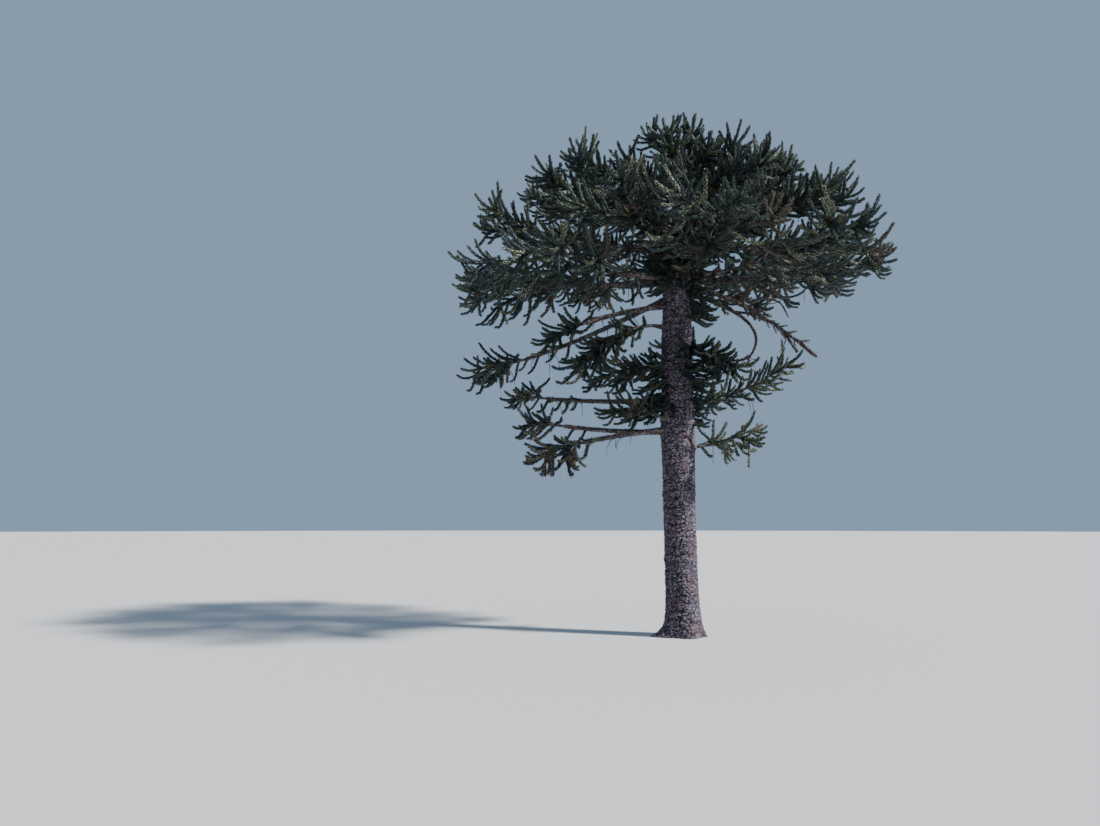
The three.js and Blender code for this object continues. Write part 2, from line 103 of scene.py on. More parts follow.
oldBoughs = [
    limb("left_long", 9.55, 170, 5.41, 7.41, sag=.15, hook=.15, share=.82, sides=3, sideReach=.7,
         length=.82, lift=-.35),
    limb("left_inner", 9.15, 203, 3.58, 8.07, sag=-.15, share=.8, fingers=4, lift=-.2),
    limb("left_mop", 8.45, 212, 3.09, 7.35, sag=-.4, airy=.5, bare=.5, sides=3, sideReach=.85,
         mainSprays=4, sideSprays=2, length=.9, lift=-.55),
    limb("left_near", 7.3, 160, 2.08, 7.28, sag=-.1, airy=.4, bare=.15, sideReach=.8, mainSprays=4,
         length=.75, lift=-.3),
    limb("left_middle", 6.45, 165, 4.49, 6.73, sag=.1, share=.84, fingers=4, lift=-.2),
    limb("left_tuft", 6.1, 205, 1.78, 6.08, sag=-.05, airy=.5, bare=.15, sides=3, sideReach=.7,
         mainSprays=4, lift=-.3),
    limb("left_lower", 5.55, 190, 3.94, 5.73, sag=.1, share=.82, sideReach=.45, fingers=4, lift=-.3),
    limb("left_lowest", 5.65, 208, 3.85, 4.93, sag=-.05, share=.78, length=.75, lift=-.6),
    limb("right_near", 7.85, 328, 1.45, 7.38, sag=-.15, airy=.1, bare=.12, sideReach=.75, mainSprays=4,
         length=.85, lift=-.4),
    limb("right_rising", 6.3, 18, 3.4, 7.56, sag=.25, airy=.85, paler=.2, bare=.1, sideReach=.65,
         mainSprays=4, fingers=4, lift=-.1),
    limb("right_lowest", 5.15, 343, 1.9, 5.49, sag=.15, airy=1.15, paler=.4, sideReach=.55, mainSprays=4,
         fingers=4, lift=-.3),
    limb("right_under", 9.55, 352, 2.1, 9.15, sag=-.08, airy=.2, bare=.1, sides=3, sideReach=.75,
         mainSprays=5, length=.65, lift=-.25),
]
deadLimbs = [
    limb("long", 9.8, 343, 3.68, 7.45, sag=-.35,
         girth=[(0, .066), (.55, .052), (.82, .036), (.88, .058), (.97, .056), (1, .03)]),
    limb("hooked", 9.6, 12, 2.07, 7.68, sag=-.15, bulge=.52, girth=[(0, .064), (.5, .052), (1, .034)]),
]  # girth: share of the length, radius

limbShape = {"boughRadius": .078, "boughEndRadius": .04, "massRadius": .0585, "sideRadius": .036,
             "axisEndRadius": .024, "pathSteps": 10,
             "sideTo": .85, "sideTaper": (1, .6), "sideLengths": (.85, 1.15), "sideSpread": (58, 30),
             "sideJitter": 12}
up = np.array([0, 0, 1.0])
# every kind of random choice has a row of its own
seeds = {"bough": 100, "tier": 900, "fan": 5000, "shoot": 9000, "sprout": 700, "tint": 77, "scar": 31,
         "deadShoot": 515, "dryTwig": 606, "size": 411}


def seededRandom(kind, index=0):
    state = (seeds[kind] + index) & 0xffffffff

    def draw():
        nonlocal state
        state = (state + 0x6d2b79f5) & 0xffffffff
        mixed = ((state ^ (state >> 15)) * (state | 1)) & 0xffffffff
        turned = ((mixed ^ (mixed >> 7)) * (mixed | 61)) & 0xffffffff
        mixed ^= (mixed + turned) & 0xffffffff
        return (mixed ^ (mixed >> 14)) / 4294967296
    return draw


def lerp(a, b, share):
    return a + (b - a) * share


def unit(vector):
    return vector / max(np.linalg.norm(vector), 1e-9)


def smoothstep(value, low, high):
    share = np.clip((value - low) / (high - low), 0, 1)
    return share * share * (3 - 2 * share)


def turnedAbout(vector, axis, angle):
    return (vector * math.cos(angle) + np.cross(axis, vector) * math.sin(angle)
            + axis * np.dot(axis, vector) * (1 - math.cos(angle)))


class SmoothPath:
    # a smooth curve through points, read by the share of its length
    def __init__(self, points):
        points = np.array(points, float)
        self.padded = np.vstack([2 * points[0] - points[1], points, 2 * points[-1] - points[-2]])
        self.spans = len(points) - 1
        self.steps = np.linspace(0, 1, 201)
        gaps = np.linalg.norm(np.diff(self.read(self.steps), axis=0), axis=1)
        self.covered = np.concatenate([[0], np.cumsum(gaps)])
        self.length = self.covered[-1]

    def read(self, share):
        place = np.clip(np.atleast_1d(share), 0, 1) * self.spans
        span = np.minimum(place.astype(int), self.spans - 1)
        part = (place - span)[:, None]
        a, b, c, d = [self.padded[span + k] for k in range(4)]
        ab, bc, cd = [np.maximum(((q - p) ** 2).sum(1), 1e-14)[:, None] ** .25
                      for p, q in ((a, b), (b, c), (c, d))]
        leave = ((b - a) / ab - (c - a) / (ab + bc) + (c - b) / bc) * bc
        arrive = ((c - b) / bc - (d - b) / (bc + cd) + (d - c) / cd) * bc
        return (b + leave * part + (3 * (c - b) - 2 * leave - arrive) * part ** 2
                + (2 * (b - c) + leave + arrive) * part ** 3)

    def shareOf(self, along):
        return np.interp(np.atleast_1d(along) * self.length, self.covered, self.steps)

    def many(self, alongs):
        return self.read(self.shareOf(alongs))

    def at(self, along):
        return self.many(along)[0]

    def heading(self, along):
        share = self.shareOf(along)[0]
        ends = self.read([max(0, share - 1e-4), min(1, share + 1e-4)])
        return unit(ends[1] - ends[0])

    def line(self):
        return self.read(np.linspace(0, 1, limbShape["pathSteps"] + 1))

    def stretch(self, first, last):
        return SmoothPath(self.many(np.linspace(first, last, 11)))

    def stand(self, along):
        # a place on the path, with the directions forward, across and above
        forward = self.heading(along)
        across = unit(np.cross(forward, up))
        return self.at(along), forward, across, np.cross(across, forward)


treeTop = trunkShape["girth"][-1][0]


def trunkRadius(height):
    return np.interp(height, *zip(*trunkShape["girth"]))


def trunkCentre(height):
    height = np.asarray(height, float)
    bow = -trunkShape["bowLeft"] * np.sin(np.pi * np.minimum(1, height / trunkShape["bowHeight"]))
    return bow + trunkShape["topLean"] * smoothstep(height, trunkShape["leanFrom"], treeTop)


def inTrunk(height):
    return np.array([float(trunkCentre(height)), 0, height])


def fromTrunk(root):
    return unit(np.array([root[0] - trunkCentre(root[2]), root[1], 0]))


def boughPath(bough):
    steps = np.linspace(0, 1, limbShape["pathSteps"] + 1)
    angle = np.radians(bough["heading"] + bough["swing"] * steps ** 2)
    hump = 4 * steps * (1 - steps)
    out = bough["reach"] * (steps + bough["bulge"] * hump)
    height = lerp(bough["base"], bough["tip"], steps) - bough["sag"] * hump + bough["hook"] * steps ** 5
    start = float(trunkCentre(bough["base"]))
    return SmoothPath(np.column_stack([start + out * np.cos(angle), out * np.sin(angle), height]))


def makeAxis(path, rootRadius, bare, sprays):
    return {"path": path, "rootRadius": rootRadius, "bare": bare, "sprays": sprays, "line": path.line()}


def sideAxis(main, along, side, length, lift, random):
    root, forward = main.at(along), main.heading(along)
    across = unit(np.cross(up, forward)) * side
    spread = math.radians(lerp(*limbShape["sideSpread"], along) + limbShape["sideJitter"] * (random() - .5))
    leave = forward * math.cos(spread) + across * math.sin(spread)
    finish = unit(forward * 1.1 + across * .9 + up * lift)
    middle = root + leave * .5 * length
    return SmoothPath([root, root + leave * .25 * length, middle, middle + finish * .5 * length])


def whorlBoughs(tier, tierIndex):
    random = seededRandom("tier", tierIndex)
    grown = []

    def jittered(key):
        return jitter[key] * (random() - .5)

    for i in range(tier["count"]):
        heading = tier["first"] + 360 * i / tier["count"] + jittered("heading")
        turned = math.radians(heading)
        far, near, left = max(0, math.sin(turned)), max(0, -math.sin(turned)), max(0, -math.cos(turned))
        outer = tier["reach"] / crownTiers[0]["reach"]
        grown.append(dict(
            tier, name=f"{tier['name']}_{i + 1}", heading=heading,
            share=tier["share"] + tier["leftBare"] * left,
            lift=tier["lift"] - tier["leftDroop"] * left,
            airy=tier["airy"] + tier["leftAiry"] * left,
            base=tier["base"] + jittered("base"),
            reach=tier["reach"] * (1 + jittered("reach"))
            - farSide["short"] * far * outer + tier["leftMore"] * left,
            tip=tier["tip"] + jittered("tip") + farSide["lift"] * far * outer
            - tier["nearDrop"] * near + tier["leftRise"] * left,
            swing=jittered("swing")))
    return grown


def layOut(bough, index):
    random = seededRandom("bough", index)
    whole = boughPath(bough)
    share = bough["share"]
    main = whole.stretch(share, 1)
    rootRadius = limbShape["boughEndRadius" if share > 0 else "massRadius"]
    mainBare = bough.get("bare", .1 if share > 0 else .35)
    axes = [makeAxis(main, rootRadius, mainBare, bough["mainSprays"])]
    for k in range(bough["sides"]):
        along = lerp(mainBare, limbShape["sideTo"], (k + .3) / bough["sides"])
        length = (bough["sideReach"] * lerp(*limbShape["sideTaper"], along)
                  * lerp(*limbShape["sideLengths"], random()))
        path = sideAxis(main, along, -1 if k % 2 else 1, length, .5 * bough["lift"], random)
        axes.append(makeAxis(path, limbShape["sideRadius"], .3, bough["sideSprays"]))
    line = whole.stretch(0, max(share, .02)).line()
    return dict(bough, index=index, whole=whole, axes=axes, line=line)


def distances(points, lines):
    # how far each point is from each line of points
    starts = np.concatenate([line[:-1] for line in lines])
    along = np.concatenate([np.diff(line, axis=0) for line in lines])
    firsts = np.cumsum([0] + [len(line) - 1 for line in lines])[:-1]
    offset = np.asarray(points)[:, None, :] - starts[None]
    share = np.clip((offset * along).sum(2) / (along ** 2).sum(1), 0, 1)
    apart = np.sqrt(((offset - share[..., None] * along) ** 2).sum(2))
    return np.minimum.reduceat(apart, firsts, axis=1)


masses = [layOut(bough, i) for i, bough in enumerate(
    [bough for i, tier in enumerate(crownTiers) for bough in whorlBoughs(tier, i)] + oldBoughs)]
for dead in deadLimbs:
    dead["whole"] = boughPath(dead)
bareBoughs = [mass for mass in masses if mass["share"] > 0]
limbLines = [mass["line"] for mass in bareBoughs] + [dead["whole"].line() for dead in deadLimbs]


def clearOfLimbs(points, room):
    points = np.asarray(points)
    height = np.minimum(points[:, 2], treeTop)
    out = np.hypot(points[:, 0] - trunkCentre(height), points[:, 1])
    outside = (out > trunkRadius(height) + room) | (points[:, 2] > treeTop + room)
    return outside & (distances(points, limbLines).min(1) > limbShape["boughRadius"] + room)


def inOwnSpace(points, mass, room):
    # a mass keeps the space that is nearer to its own axes than to any other mass's
    apart = distances(points, axisLines)
    own = apart[:, axisOwner == mass["index"]].min(1)
    other = apart[:, axisOwner != mass["index"]].min(1)
    return other > own + room


def isFree(axis, mass):
    outer = axis["line"][4:]
    apart = distances(outer, mainLines)
    others = np.delete(apart, mass["index"], 1).min(1)
    return (others > apart[:, mass["index"]] - .25).all() and clearOfLimbs(outer, .06).all()


mainLines = [mass["axes"][0]["line"] for mass in masses]
for mass in masses:
    mass["axes"][1:] = [axis for axis in mass["axes"][1:] if isFree(axis, mass)]
axisLines = [axis["line"] for mass in masses for axis in mass["axes"]]
axisOwner = np.array([mass["index"] for mass in masses for axis in mass["axes"]])
print("limbs laid out:", len(masses), "masses with", len(axisLines), "axes")

# The fans of shoots that every mass carries, by the same rule as the solids
fanShape = {"lean": (62, 38), "endLean": .15, "spread": 1.05, "endSpread": 1.25, "turn": 137.5,
            "fingerRadius": .06, "fingerRoom": .13, "clearGap": .025, "sizes": (.85, 1.1),
            "middle": .16, "jitter": .12, "fingerLengths": (.8, 1.08), "rounding": .22, "waver": .3,
            "rise": .25}


def leaning(forward, across, above, lean, around):
    return (forward * math.cos(lean) + across * math.sin(lean) * math.cos(around)
            + above * math.sin(lean) * math.sin(around))


def growFan(mass, root, heading, roll, count, spread, taken, random):
    side = unit(np.cross(np.array([.21, .17, 1]), heading))
    across = turnedAbout(side, heading, roll)
    normal = unit(np.cross(heading, across))
    shape, lift = fanShape, mass["lift"]
    length = mass["length"] * lerp(*shape["sizes"], random())
    middle = root + heading * shape["middle"] * length
    radii = shape["fingerRadius"] * np.array([1, .5, 0])
    fingers, turns = [], []
    for k in range(count):
        turn = lerp(-spread, spread, (k + .5) / count) + shape["jitter"] * (random() - .5)
        out = length * lerp(*shape["fingerLengths"], random()) * (1 - shape["rounding"] * abs(turn / spread))
        rise = length * (shape["waver"] * (random() - .5) + shape["rise"] * lift * normal[2])
        step = heading * out * math.cos(turn) + across * out * math.sin(turn) + normal * rise
        tests = np.array([middle + step * part for part in (.4, .7, 1)])
        free = (inOwnSpace(tests, mass, 2 * radii + shape["clearGap"])
                & clearOfLimbs(tests, radii + shape["clearGap"])).all()
        if free and taken:
            free = distances(tests, taken).min() > shape["fingerRoom"]
        if free:
            fingers.append(np.array([middle, middle + step]))
            turns.append(turn / spread)
    if len(fingers) < 2:
        return None
    taken.extend(fingers)
    return {"root": root, "heading": heading, "across": across, "normal": normal, "length": length,
            "fingers": fingers, "turns": turns}


def growFans(mass):
    fans, taken = [], []
    for axisIndex, axis in enumerate(mass["axes"]):
        random = seededRandom("fan", 50 * mass["index"] + axisIndex)
        for k in range(axis["sprays"]):
            atEnd = k == axis["sprays"] - 1
            along = .97 if atEnd else lerp(axis["bare"], .95, (k + .5) / axis["sprays"])
            root, forward, across, above = axis["path"].stand(along)
            turn = math.radians(fanShape["turn"] * (k + 2 * axisIndex) + 60 * random())
            lean = fanShape["endLean"] if atEnd else math.radians(lerp(*fanShape["lean"], along))
            heading = unit(leaning(forward, across, above, lean, turn) + fromTrunk(root) * .2
                           + up * .6 * mass["lift"])
            fan = growFan(mass, root, heading, math.pi * random(), mass["fingers"] + (1 if atEnd else 0),
                          fanShape["endSpread" if atEnd else "spread"], taken, random)
            if fan:
                fans.append(fan)
    return fans


# Every finger of a fan becomes a rope-like shoot. More shoots stand between them and along the axes.
shootShape = {
    # for a dense mass and for an airy one
    "room": (.086, .155),  # least distance between two shoots of a mass
    "extraPerFan": (8, 5), "alongSpacing": (.052, .075), "longer": (1, 1.27),
    "hangSpacing": (.10, .19),  # between the shoots that hang from bare boughs
    # from one end of a range to the other
    "fanLean": (28, 68), "alongLean": (68, 40), "fanFrom": (.04, .42), "fanLengths": (.6, .95),
    "alongLengths": (.65, 1.1), "hangLengths": (.35, .6), "bends": (.5, 1.4),
    # one value
    "steps": 5, "turn": 137.5, "alongLength": .84,
    "hangFrom": .5,  # how far along a bough the first one hangs
    "handle": .36,  # how far a shoot's curve is pulled at each end
    "bend": .62, "hook": .7, "curl": 1.0,  # how far its end turns up, a hanging one's, and sideways
    "clear": {2: .04, 4: .03, 5: .01},  # its points that have to be free, and their room
}


def shootLine(start, leave, tip, turnUp, curl=0):
    reach = np.linalg.norm(tip - start)
    toTip = unit(tip - start)
    finish = unit(toTip + up * turnUp + np.cross(toTip, up) * curl)
    pull = reach * shootShape["handle"]
    a, b = start + unit(leave + toTip * .5) * pull, tip - finish * pull
    share = np.linspace(0, 1, shootShape["steps"] + 1)[:, None]
    return (start * (1 - share) ** 3 + 3 * a * share * (1 - share) ** 2
            + 3 * b * share ** 2 * (1 - share) + tip * share ** 3)


def growShoots(mass):
    random = seededRandom("shoot", mass["index"])
    room, longer, extraPerFan, alongSpacing, hangSpacing = [
        lerp(*shootShape[key], mass["airy"])
        for key in ("room", "longer", "extraPerFan", "alongSpacing", "hangSpacing")]
    below = lerp(mass["underside"], 1, np.clip(2 * mass["airy"] - 1, 0, 1))
    lift, length = mass["lift"], mass["length"]
    turnUp = shootShape["bend"] + (shootShape["hook"] * -lift if lift < 0 else .3 * lift)
    sure, tries = [], []

    def anyOf(key):
        return lerp(*shootShape[key], random())

    def grow(kept, group, start, leave, tip):
        turn = turnUp * anyOf("bends")
        kept.append((shootLine(start, leave, tip, turn, shootShape["curl"] * (random() - .5)), group))

    def held(aim):
        # the underside of a dense mass stays shallow
        aim[2] *= below if aim[2] < 0 else 1
        return aim

    fans = growFans(mass)
    for group, fan in enumerate(fans):
        root, heading, size = fan["root"], fan["heading"], fan["length"]
        for finger, turn in zip(fan["fingers"], fan["turns"]):
            start = root + heading * size * (.04 + .3 * (1 - abs(turn)))
            if abs(turn) == min(abs(t) for t in fan["turns"]):
                start = root
            grow(sure, group, start, heading, finger[1])
        for k in range(round(extraPerFan)):
            around = math.radians(shootShape["turn"] * k + 70 * random() + 40)
            lean = math.radians(anyOf("fanLean"))
            aim = held(unit(leaning(heading, fan["across"], fan["normal"], lean, around) + up * .25 * lift))
            start = root + heading * size * anyOf("fanFrom")
            grow(tries, group, start, heading, start + aim * size * longer * anyOf("fanLengths"))
    group = len(fans)
    for axis in mass["axes"]:
        path = axis["path"]
        count = int(path.length * (1 - .6 * axis["bare"]) / alongSpacing)
        for k in range(count):
            along = lerp(.6 * axis["bare"], .99, (k + .5) / count)
            root, forward, across, above = path.stand(along)
            around = math.radians(shootShape["turn"] * k + 50 * random())
            lean = math.radians(lerp(*shootShape["alongLean"], along))
            aim = held(unit(leaning(forward, across, above, lean, around) + fromTrunk(root) * .15
                            + up * (.15 + .5 * lift)))
            tip = root + aim * length * longer * shootShape["alongLength"] * anyOf("alongLengths")
            grow(tries, group + k // 6, root, unit(aim + forward * .3), tip)
        group += count // 6 + 1
    if mass["share"] > 0:
        # shoots hang from the bare part of a bough
        start, end = shootShape["hangFrom"] / mass["whole"].length, mass["share"]
        spacing = hangSpacing / mass["whole"].length
        for k in range(int((end - start) / spacing)):
            root, forward, across, _ = mass["whole"].stand(start + (k + random()) * spacing)
            aim = unit(forward * .45 + across * lerp(-.9, .9, random()) - up * lerp(-.2, 1.0, random()))
            grow(tries, group + k // 4, root, aim, root + aim * longer * anyOf("hangLengths"))
    checked = list(shootShape["clear"])
    radii = np.tile(list(shootShape["clear"].values()), len(tries))
    spots = [line[checked] for line, _ in tries]
    tests = np.concatenate(spots)
    free = inOwnSpace(tests, mass, radii) & clearOfLimbs(tests, radii + .01)
    free &= ((tests > boxLow + .05) & (tests < boxHigh - .03)).all(1)
    used = [line[checked] for line, _ in sure]
    for shoot, spot, ok in zip(tries, spots, free.reshape(-1, 3).all(1)):
        if ok and np.sqrt(((np.concatenate(used)[:, None] - spot) ** 2).sum(2)).min() > room:
            sure.append(shoot)
            used.append(spot)
    return fans, sure


# Tufts of shoots that sprout from the trunk itself, in the crown and below it
sproutColumns = ("height", "tall", "heading", "spread", "count", "length", "rise", "seed")
sprouts = [dict(zip(sproutColumns, row)) for row in (
    (10.8, .8, 270, 70, 60, .95, .1, 7),
    (10.6, .75, 180, 45, 44, 1.0, 0, 8),
    (10.7, .8, 45, 90, 44, .85, .1, 9),
    (9.15, .4, 345, 45, 26, .8, -.35, 10),
    (7.35, .5, 318, 42, 26, .95, -.05, 1),
    (6.75, .35, 345, 30, 12, .75, -.3, 2),
    (6.05, .35, 352, 24, 12, .42, -.2, 3),
    (7.6, .3, 196, 34, 12, .6, .35, 4),
    (6.7, .6, 208, 38, 26, .85, -.45, 5),
    (6.5, .7, 75, 60, 16, .6, -.1, 6),
    (10.0, .42, 266, 75, 44, .72, -.3, 11),
)]


def growSprout(sprout):
    random = seededRandom("sprout", sprout["seed"])
    lines = []
    for k in range(sprout["count"]):
        turned = math.radians(sprout["heading"] + sprout["spread"] * (2 * random() - 1))
        height = sprout["height"] + sprout["tall"] * (2 * random() - 1)
        out = np.array([math.cos(turned), math.sin(turned), 0])
        root = inTrunk(height) + out * trunkRadius(height) * .9
        aim = unit(out + np.cross(up, out) * (random() - .5) + up * (sprout["rise"] + .5 * (random() - .5)))
        tip = root + aim * sprout["length"] * lerp(.6, 1.1, random())
        line = shootLine(root, unit(out + up * .2), tip, .7)
        if clearOfLimbs(line[2:], .03).all():
            lines.append(line)
    return lines


# The deep tint is dealt more often inside the crown and the olive more often at its outside: painted shade
# inside the crown. The withered tint gathers inside as the real dead shoots do.
leafTints = {
    # colour, share of the sprays, and how much likelier it is inside the crown than at its outside
    "deep": {"colour": (.015, .032, .042), "share": .36, "inside": 1.3},
    "forest": {"colour": (.023, .046, .048), "share": .33, "inside": 1},
    "olive": {"colour": (.046, .072, .054), "share": .23, "inside": .8},
    "withered": {"colour": (.098, .076, .062), "share": .08, "inside": 4},
}
# Pale shoots: partly the paler young growth, partly painted highlight for shoots in sunlight, so they are
# dealt more at the crown's outside than inside.
paleLitShoots = {"colour": (.150, .172, .122), "outside": .17, "inside": .08}  # single shoots
sproutTints = ("deep", "forest", "olive")
shoots = {tint: [] for tint in [*leafTints, "pale"]}
fansOf = {}
dealing = seededRandom("tint")
for mass in masses:
    fansOf[mass["name"]], grown = growShoots(mass)
    tintOf = {}
    for line, group in grown:
        # how far out along its bough the shoot stands
        outness = math.hypot(*line[0][:2]) / (mass["reach"] + .01)
        inside = 1 - smoothstep(outness, .45, .8) if "count" in mass else .35
        if group not in tintOf:
            shares = [made["share"] * lerp(1 / made["inside"], made["inside"], inside)
                      for made in leafTints.values()]
            steps = np.cumsum(shares) / sum(shares)
            tintOf[group] = list(leafTints)[int(np.searchsorted(steps, dealing()))]
        # pale shoots, partly painted highlight, are likelier at the crown's outside and on a paler bough
        isPaleLit = dealing() < lerp(paleLitShoots["outside"], paleLitShoots["inside"], inside) + mass["paler"]
        shoots["pale" if isPaleLit else tintOf[group]].append(line)
for sprout in sprouts:
    for k, line in enumerate(growSprout(sprout)):
        shoots[sproutTints[(k // 4 + sprout["seed"]) % 3]].append(line)
print("shoots grown:", {tint: len(lines) for tint, lines in shoots.items()})

# Helpers for node trees


def addNode(tree, kind, inputs=None, **settings):
    made = tree.nodes.new(kind)
    for key, value in settings.items():
        setattr(made, key, value)
    for key, value in (inputs or {}).items():
        if isinstance(value, bpy.types.NodeSocket):
            tree.links.new(value, made.inputs[key])
        else:
            made.inputs[key].default_value = value
    return made


def add(tree, kind, inputs=None, **settings):
    return addNode(tree, kind, inputs, **settings).outputs[0]


def reckon(tree, operation, a, b=0.0, c=0.0):
    return add(tree, "ShaderNodeMath", {0: a, 1: b, 2: c}, operation=operation)


def times(tree, a, b):
    return reckon(tree, "MULTIPLY", a, b)


def vectorMath(tree, operation, a, b):
    return add(tree, "ShaderNodeVectorMath", {0: a, "Scale" if operation == "SCALE" else 1: b},
               operation=operation)


def combined(tree, **parts):
    return add(tree, "ShaderNodeCombineXYZ", parts)


def noise(tree, place, scale, detail, which=0, **more):
    inputs = dict(more, Vector=place, Scale=scale, Detail=detail)
    return addNode(tree, "ShaderNodeTexNoise", inputs).outputs[which]


def ramp(tree, value, low, high):
    return add(tree, "ShaderNodeMapRange", {"Value": value, "From Min": low, "From Max": high},
               interpolation_type="SMOOTHSTEP")


def mixed(tree, share, first, second):
    colours = {key: value if isinstance(value, bpy.types.NodeSocket) else (*value, 1)
               for key, value in ((6, first), (7, second))}
    return addNode(tree, "ShaderNodeMix", {"Factor": share, **colours}, data_type="RGBA").outputs[2]


def startTree(name, inputs):
    tree = bpy.data.node_groups.new(name, "GeometryNodeTree")

    def socket(label, kind, side="INPUT"):
        return tree.interface.new_socket(label, in_out=side, socket_type="NodeSocket" + kind)

    socket("Geometry", "Geometry")
    socket("Geometry", "Geometry", "OUTPUT")
    for label, value in inputs.items():
        socket(label, "Int" if isinstance(value, int) else "Float").default_value = value
    socket("Material", "Material")
    return tree, tree.nodes.new("NodeGroupInput").outputs


def endTree(tree, geometry, given):
    realized = add(tree, "GeometryNodeRealizeInstances", {"Geometry": geometry})
    painted = add(tree, "GeometryNodeSetMaterial", {"Geometry": realized, "Material": given["Material"]})
    addNode(tree, "NodeGroupOutput", {"Geometry": painted})
    return tree


def cone(tree, sides, radius, length):
    return add(tree, "GeometryNodeMeshCone", {
        "Vertices": sides, "Side Segments": 1, "Radius Top": 0.0, "Radius Bottom": radius,
        "Depth": length}, fill_type="NGON")


def scatter(tree, points, instance, **more):
    return add(tree, "GeometryNodeInstanceOnPoints", dict(more, Points=points, Instance=instance))


def girthAlong(tree):
    return add(tree, "GeometryNodeInputNamedAttribute", {"Name": "girth"}, data_type="FLOAT")


def tubeAlong(tree, given, girth):
    curves = add(tree, "GeometryNodeMeshToCurve", {"Mesh": given["Geometry"]})
    ring = add(tree, "GeometryNodeCurvePrimitiveCircle", {"Resolution": given["Sides"], "Radius": 1.0})
    return add(tree, "GeometryNodeCurveToMesh",
               {"Curve": curves, "Profile Curve": ring, "Scale": girth, "Fill Caps": True})


def addPiece(name, data):
    data.name = name
    made = bpy.data.objects.new(name, data)
    bpy.context.collection.objects.link(made)
    return made


def growPiece(name, base, tree, material, values=None):
    # runs a node tree on a base mesh and keeps the outcome as a plain mesh
    carrier = addPiece(name + "_base", base)
    modifier = carrier.modifiers.new("grow", "NODES")
    modifier.node_group = tree
    chosen = dict(values or {}, Material=material)
    for item in tree.interface.items_tree:
        if item.in_out == "INPUT" and item.name in chosen:
            modifier[item.identifier] = chosen[item.name]
    ready = carrier.evaluated_get(bpy.context.evaluated_depsgraph_get())
    mesh = bpy.data.meshes.new_from_object(ready)
    carrier.modifiers.remove(modifier)
    bpy.data.objects.remove(carrier)
    return addPiece(name, mesh)


def growStrands(name, strands, tree, material, values=None):
    # the base is loose chains of edges, one for each strand, with the girth at each point
    lines, girths = zip(*strands)
    mesh = bpy.data.meshes.new(name)
    firsts = np.cumsum([0] + [len(line) for line in lines])
    edges = np.concatenate([np.column_stack([np.arange(a, b - 1), np.arange(a + 1, b)])
                            for a, b in zip(firsts, firsts[1:])])
    mesh.from_pydata(np.concatenate(lines).tolist(), edges.tolist(), [])
    girth = mesh.attributes.new("girth", "FLOAT", "POINT")
    girth.data.foreach_set("value", np.concatenate(girths).astype(np.float32))
    return growPiece(name, mesh, tree, material, values)


mostTriangles = 185000  # of a piece, as estimated: the limit is 200,000


def growParts(name, strands, triangles, tree, material):
    parts = int(np.ceil(triangles / mostTriangles))
    cuts = [part * len(strands) // parts for part in range(parts + 1)]
    return [growStrands(f"{name}_{i + 1}", strands[cuts[i]:cuts[i + 1]], tree, material)
            for i in range(parts)]


def strand(path, first, last, rootGirth, endGirth, step=.035):
    count = max(4, int(path.length * (last - first) / step))
    return path.many(np.linspace(first, last, count)), np.linspace(rootGirth, endGirth, count)


def finishPiece(piece, slot, *nodes):
    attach(piece, "root")
    if nodes:
        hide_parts(*nodes)
    piece.data.calc_loop_triangles()
    print(" ", piece.name, len(piece.data.loop_triangles), "triangles")


# Materials


def newMaterial(name, roughness, specular):
    material = bpy.data.materials.new(name)
    material.use_nodes = True
    tree = material.node_tree
    shader = tree.nodes["Principled BSDF"].inputs
    shader["Roughness"].default_value = roughness
    shader["Specular IOR Level"].default_value = specular
    return material, tree, shader, addNode(tree, "ShaderNodeTexCoord").outputs["Object"]


def leafMaterial(name, colour):
    material, tree, shader, place = newMaterial(name, .52, .38)
    dark, light = [tuple(c * k for c in colour) for k in (.72, 1.3)]
    mottle = ramp(tree, noise(tree, place, 9.0, 3.0), .35, .65)
    tree.links.new(mixed(tree, mottle, dark, light), shader["Base Color"])
    return material


def addBump(tree, shader, height, strength, distance):
    bump = add(tree, "ShaderNodeBump", {"Height": height, "Strength": strength, "Distance": distance})
    tree.links.new(bump, shader["Normal"])


def plainWood(name, light, dark, grain):
    material, tree, shader, place = newMaterial(name, .9, .2)
    fine = noise(tree, place, grain, 5.0)
    tree.links.new(mixed(tree, ramp(tree, fine, .35, .65), dark, light), shader["Base Color"])
    addBump(tree, shader, fine, .5, .006)
    return material


barkParts = ("grain", "crack", "grey", "pale", "red", "lichen")
barkLooks = {name: dict(zip(barkParts, row)) for name, *row in (
    ("trunkBark", 26.0, (.013, .012, .017), (.096, .079, .104), (.196, .161, .196), (.136, .094, .104),
     (.255, .236, .262)),
    ("boughBark", 34.0, (.024, .020, .024), (.096, .084, .090), (.208, .183, .180), (.108, .080, .074),
     (.220, .208, .200)),
    ("deadWood", 34.0, (.022, .019, .021), (.084, .073, .075), (.168, .145, .142), (.104, .073, .068),
     (.180, .168, .164)),
)}


